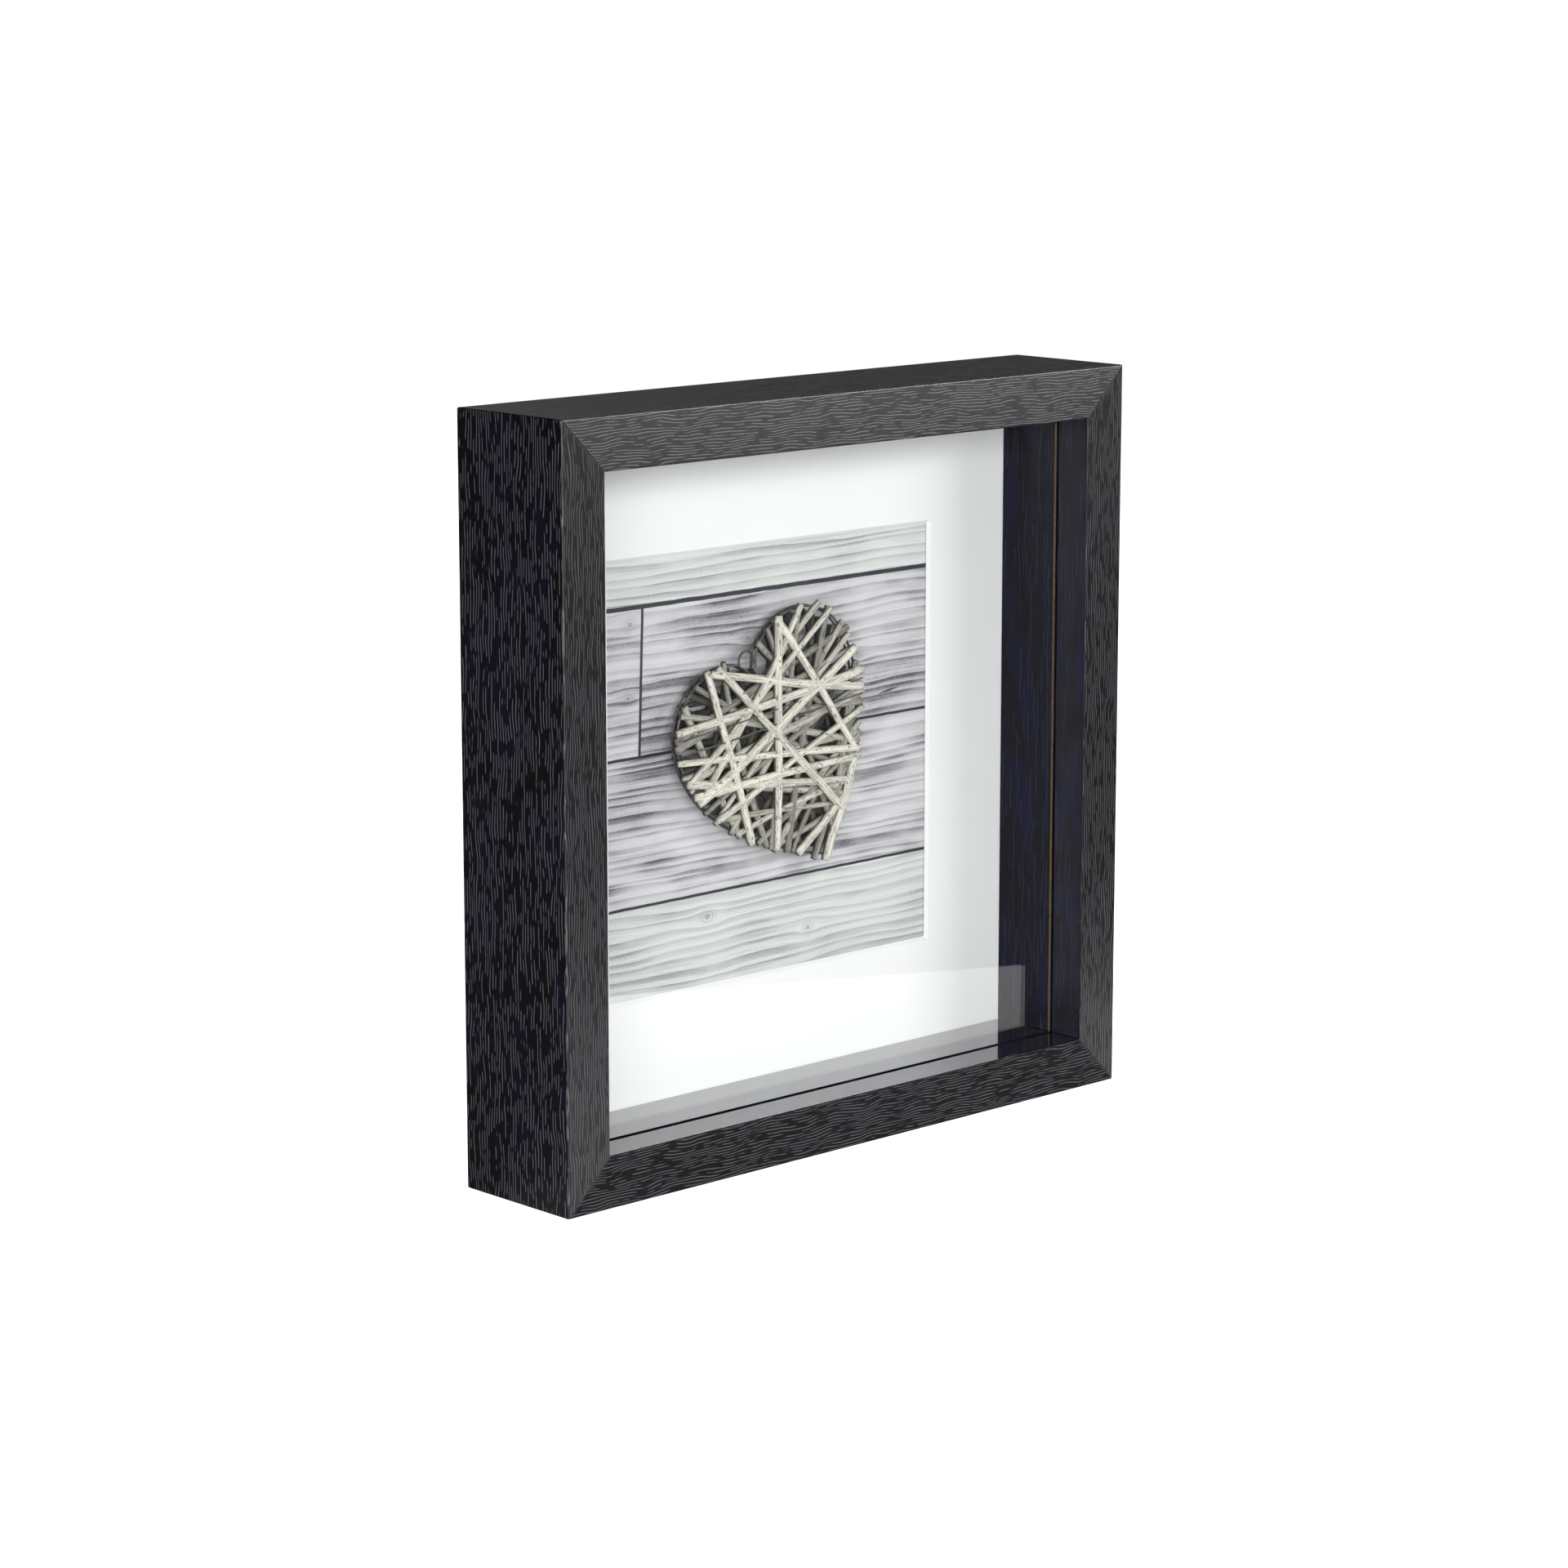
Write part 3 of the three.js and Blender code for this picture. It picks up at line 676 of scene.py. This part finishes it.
# A rod's centre line runs from hoop to hoop with a small overhang. It rests in front of or behind the hoop
# at its ends, lifts by `lift` in the middle, and bows sideways by half a sine wave. Its girth tapers, with
# one bud.
def rodLines(pairs, depth, lift, radius, overhang, chance):
    count, steps = len(pairs), rods["steps"]
    ends = hoopPlaces(pairs)
    run = ends[:, 1] - ends[:, 0]
    length = np.linalg.norm(run, axis=1, keepdims=True)
    run = run / length
    spare = overhang + chance.uniform(*rods["overhangSpread"], (count, 2))
    starts = ends[:, 0] - run * spare[:, :1]
    stops = ends[:, 1] + run * spare[:, 1:]
    t = np.linspace(0.0, 1.0, steps)
    across = np.stack([-run[:, 1], run[:, 0]], axis=1)
    bow = chance.uniform(-1.0, 1.0, (count, 1)) * rods["bow"] * length / 70.0
    kink = chance.uniform(-0.3, 0.3, (count, 1))
    phase = chance.uniform(0.0, 6.28, (count, 1))
    aside = bow * np.sin(np.pi * t) + kink * np.sin(2.3 * np.pi * t + phase)
    flat = starts[:, None] * (1 - t)[None, :, None] + stops[:, None] * t[None, :, None]
    flat = flat + aside[:, :, None] * across[:, None, :]
    swell = 1 - (2 * t - 1) ** 4
    ripple = chance.uniform(-0.3, 0.3, (count, 1)) * np.sin(3.1 * np.pi * t + phase)
    depths = depth + lift[:, None] * swell + ripple * swell
    centres = tilted(flat[..., 0], flat[..., 1], depths)
    size = radius * chance.uniform(1 - rods["spread"], 1 + rods["spread"], (count, 1))
    taper = 1 + rods["taper"] * chance.choice([-1.0, 1.0], (count, 1)) * (t - 0.5)
    bud = chance.uniform(0.15, 0.85, (count, 1))
    swelling = 1 + 0.10 * np.exp(-((t - bud) / 0.025) ** 2) + 0.03 * np.sin(9 * t + phase)
    radii = size * taper * swelling * mm
    radii[:, [0, -1]] *= rods["endSize"]
    return centres, radii


# Places on the hoop for stations between 0 and 1
def hoopPlaces(stations):
    hoop = hoopLine(401)
    share = np.linspace(0.0, 1.0, len(hoop))
    return np.stack([np.interp(np.array(stations), share, hoop[:, i]) for i in range(2)], axis=-1)


# Chords drawn at random that stay inside the heart: a chord from lobe to lobe has to cross below the notch
def randomPairs(count, chance):
    first = chance.uniform(0.0, 1.0, count * 4)
    pairs = np.stack([first, (first + chance.uniform(0.3, 0.7, count * 4)) % 1.0], axis=1)
    start, stop = np.moveaxis(hoopPlaces(pairs), 1, 0)
    share = start[:, 0] / (start[:, 0] - stop[:, 0])
    crossing = start[:, 1] + (stop[:, 1] - start[:, 1]) * share
    inside = (start[:, 0] * stop[:, 0] > 0) | (crossing < heart["notchFoot"])
    return pairs[inside][:count]


# Willow skin: pale grey-cream with long stained strands, weather stains and short cracks. The flanks away
# from the crown carry painted shade, and the rods of the deeper layers are painted darker as shade.
def willowMaterial():
    s = Shader("greyWillow")
    skin = s.add("ShaderNodeAttribute", {"attribute_name": "rodSkin"}, output="Vector")
    tone = s.add("ShaderNodeAttribute", {"attribute_name": "rodDepthShade"}, output="Fac")
    split = s.node("ShaderNodeSeparateXYZ", None, {0: skin})
    along, side, front = [Socket(s, split.outputs[i]) * 1000.0 for i in range(3)]
    strand = s.noise(s.vector(along / 12.0, side * 2.0, front * 2.0), detail=2.0, roughness=0.6)
    crackle = s.noise(s.vector(along / 3.0, side * 5.0, front * 5.0), detail=2.0)
    stain = s.noise(s.vector(along / 5.0, side / 1.5, front / 1.5), detail=2.0)
    dash = s.noise(s.vector(along / 1.6, side * 1.4, front * 1.4), detail=2.0)
    bark = s.mix(strand.ramp(0.45, 0.62) * 0.75, willow["pale"], willow["stain"])
    bark = s.mix(stain.ramp(0.52, 0.74) * 0.4, bark, willow["stain"])
    bark = s.mix(dash.ramp(0.58, 0.68) * 0.75, bark, willow["crack"])
    # Painted shade: the flanks away from the crown are darkened
    crown = (front / rods["radius"] * -1.0).ramp(-0.05, 0.80)
    bark = s.mix((1 - crown) * 0.92, bark, willow["flankShade"])
    # Painted shade: rods of the deeper layers are darkened by their depth shade, near black at the back
    paintedLight = s.mix(1 - tone ** 1.5, bark, willow["shaded"])
    height = strand * 0.5 + crackle * 0.35 + dash.ramp(0.74, 0.62) * 0.3
    return s.surface({
        "Base Color": paintedLight,
        "Roughness": 0.66 + strand * 0.2,
        "Normal": s.bump(height, 0.5, 0.0003),
    })


def makeWicker():
    chance = np.random.default_rng(rods["seed"])
    middle = (heartLow.y + heartHigh.y) / 2 / mm
    reach = heart["hoopSpread"] / 2 + heart["hoopWire"] + rods["radius"]
    back, front, radius = middle + reach, middle - reach, rods["radius"]
    # Each layer: its rods, depth at the hoop, lift of its first and last rod, radius, painted depth shade
    # and overhang. The deepest rods are painted near black, a dark backing of painted shade in the gaps.
    layers = (
        (randomPairs(rods["darkBackingRods"], chance), back, -1.2, -0.2, radius, (0.0, 0.06), -3.0),
        (rodsUnder, back - 0.6, -1.2, -0.8, radius * 0.9, (0.04, 0.28), -1.5),
        (rodsMiddle, front + 0.5, 1.6, 0.3, radius, (0.42, 0.86), 1.4),
        (rodsOver, front, 0.0, -0.8, radius * 1.18, (0.90, 1.0), 1.6),
        (threads, front - 0.8, -0.4, -0.5, 0.3, (0.5, 0.6), 0.5),
    )
    lines, widths, depthShades = [], [], []
    for pairs, depth, firstLift, lastLift, girth, depthShadeRange, overhang in layers:
        lift = np.linspace(firstLift, lastLift, len(pairs))
        centres, radii = rodLines(pairs, depth, lift, girth, overhang, chance)
        lines.append(centres)
        widths.append(radii)
        depthShades.append(chance.uniform(*depthShadeRange, len(pairs)))
    piece = barMesh("wicker_rods", np.concatenate(lines), np.concatenate(widths), np.concatenate(depthShades),
                    rods["sides"])
    piece.data.materials.append(willowMaterial())
    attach(piece, "insert")
    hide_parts("heart_weave")


# ---- The floor, and putting it all together ----

# A pale board under the case. Its front edge lies a hand's width or two before the glass, turned off square,
# so the glass mirrors a pale block at its foot and stays clear above. It glows in front of the case only.
def makeFloor(board):
    turn = math.radians(board["turn"])
    along = np.array([math.cos(turn), math.sin(turn), 0.0])
    inward = np.array([-math.sin(turn), math.cos(turn), 0.0])
    start = np.array([*board["edge"], 0.0])
    corners = [start + along * a * board["length"] / 2 + inward * b * board["depth"]
               for a, b in ((-1, 0), (1, 0), (1, 1), (-1, 1))]
    mesh = bpy.data.meshes.new("floorBoard")
    mesh.from_pydata([tuple(corner) for corner in corners], [], [(0, 1, 2, 3)])
    floor = bpy.data.objects.new("floorBoard", mesh)
    bpy.context.scene.collection.objects.link(floor)
    s = Shader("paleFloor")
    x, y, z = s.places()
    path = s.node("ShaderNodeLightPath")
    seen = Socket(s, path.outputs["Is Camera Ray"])
    glow = (y * mm).ramp(*board["glowEnd"]) * board["glow"]
    floor.data.materials.append(s.surface({
        "Base Color": s.mix(seen, (board["shade"],) * 3, (board["colour"],) * 3),
        "Roughness": board["roughness"],
        "Emission Color": s.mix(seen, s.mix(glow, (0.0, 0.0, 0.0), (1.0, 1.0, 1.0)), (board["seen"],) * 3),
        "Emission Strength": 1.0,
    }))


makeCamera(cameraView)
makeSky(sky)
for lampName, lampFacts in lamps.items():
    makeLamp(lampName, lampFacts)
makeFloor(floorBoard)
bpy.context.scene.view_settings.view_transform = "Standard"
print("camera, light and floor made")

dressCase()
dressStack()
dress(["print_sheet"], printMaterial())
print("materials made")

makeWicker()
print("wicker made")
